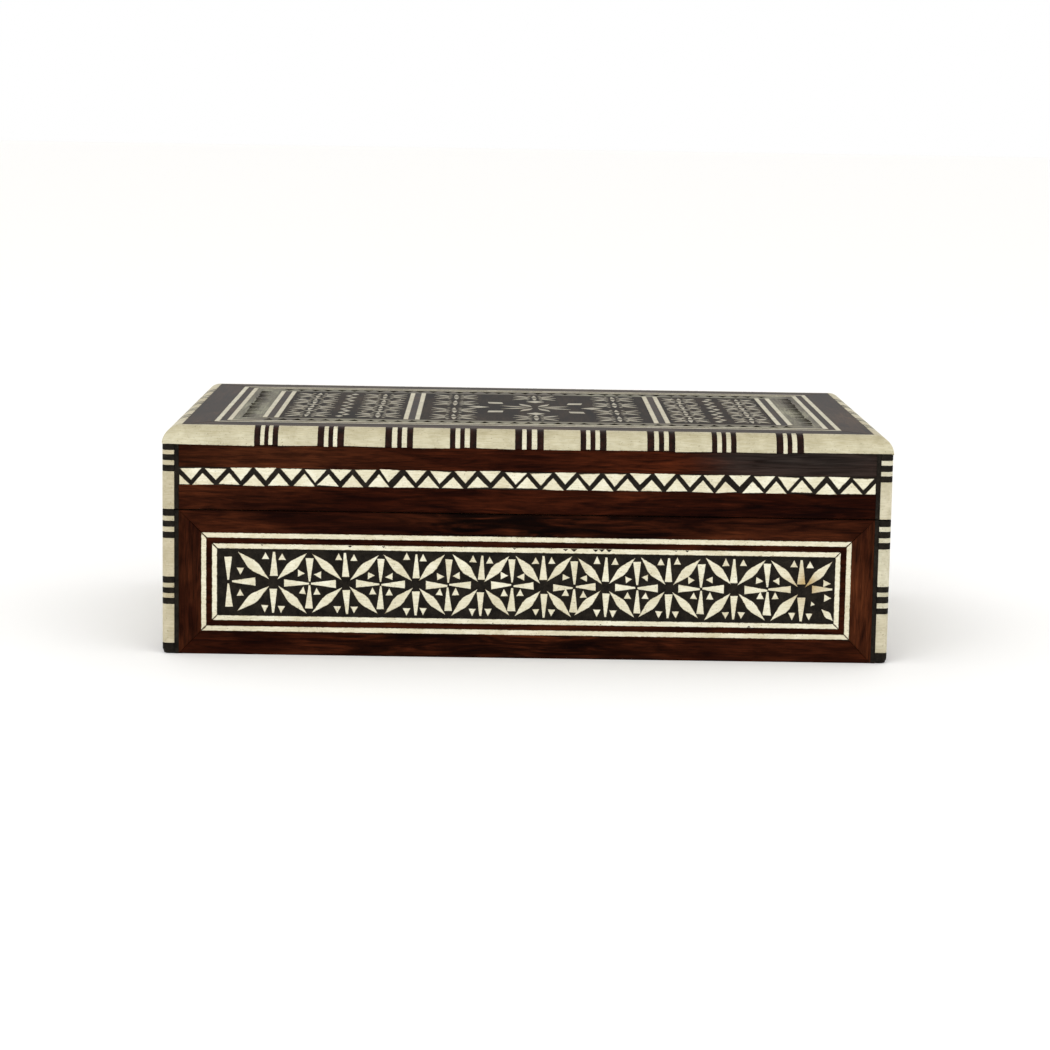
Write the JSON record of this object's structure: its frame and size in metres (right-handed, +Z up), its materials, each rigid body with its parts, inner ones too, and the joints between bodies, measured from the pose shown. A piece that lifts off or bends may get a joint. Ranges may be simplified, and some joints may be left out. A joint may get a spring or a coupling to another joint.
{
  "type": "inlaid wooden box",
  "caption": "Rectangular hinged wooden box with mitred boards, bone and ebony inlay on every face, a banded quarter-round edge moulding and a velvet lining.",
  "frame": {"origin": "centre of the underside, on the surface that the box stands on", "axes": "+Z up, -Y out of the front, +X to the right seen from the front"},
  "size_m": [0.203, 0.127, 0.064],
  "materials": {
    "carcass_wood": "plain sawn softwood, unvarnished",
    "rosewood": "dark red-brown hardwood veneer, varnished",
    "ebony": "black hardwood, varnished",
    "bone": "polished cream bone",
    "pale_wood": "pale hardwood inlay, varnished",
    "brass": "aged satin brass",
    "velvet": "short dark red pile"
  },
  "bodies": {
    "base": {"bottom_board": "carcass_wood", "base_front_wall": "carcass_wood", "base_right_wall": "carcass_wood", "base_back_wall": "carcass_wood", "base_left_wall": "carcass_wood", "base_front_frame": "rosewood", "base_right_frame": "rosewood", "base_back_frame": "rosewood", "base_left_frame": "rosewood", "base_front_stringing": "bone", "base_right_stringing": "bone", "base_back_stringing": "bone", "base_left_stringing": "bone", "base_front_field": "ebony", "base_right_field": "ebony", "base_back_field": "ebony", "base_left_field": "ebony", "base_front_stars": "bone", "base_right_stars": "bone", "base_back_stars": "bone", "base_left_stars": "bone", "base_fillets": "rosewood", "base_post_bone": "bone", "base_post_ebony": "ebony", "base_edge_lines": "ebony", "base_floor_lining": "velvet", "base_wall_lining": "velvet", "base_hinge_leaves": "brass", "base_hinge_screws": "brass", "hinge_pins": "brass"},
    "lid": {"lid_top_board": "carcass_wood", "lid_front_wall": "carcass_wood", "lid_right_wall": "carcass_wood", "lid_back_wall": "carcass_wood", "lid_left_wall": "carcass_wood", "lid_front_apron": "rosewood", "lid_right_apron": "rosewood", "lid_back_apron": "rosewood", "lid_left_apron": "rosewood", "lid_zigzag_ebony": "ebony", "lid_zigzag_bone": "bone", "lid_post_bone": "bone", "lid_post_ebony": "ebony", "lid_edge_lines": "ebony", "moulding_bone": "bone", "moulding_ebony": "ebony", "top_border": "rosewood", "top_lines": "bone", "top_dark_lines": "ebony", "top_band": "pale_wood", "top_band_triangles": "ebony", "top_panels": "rosewood", "top_side_mosaic": "bone", "top_medallion": "bone", "lid_ceiling_lining": "velvet", "lid_wall_lining": "velvet", "lid_hinge_leaves": "brass", "lid_hinge_screws": "brass"}
  },
  "joints": [
    {"name": "lid_hinge", "type": "hinge", "parent": "base", "child": "lid", "pos_m": [0, 0.0617, 0.04065], "axis": [-1, 0, 0], "range_deg": [0, 105]}
  ]
}
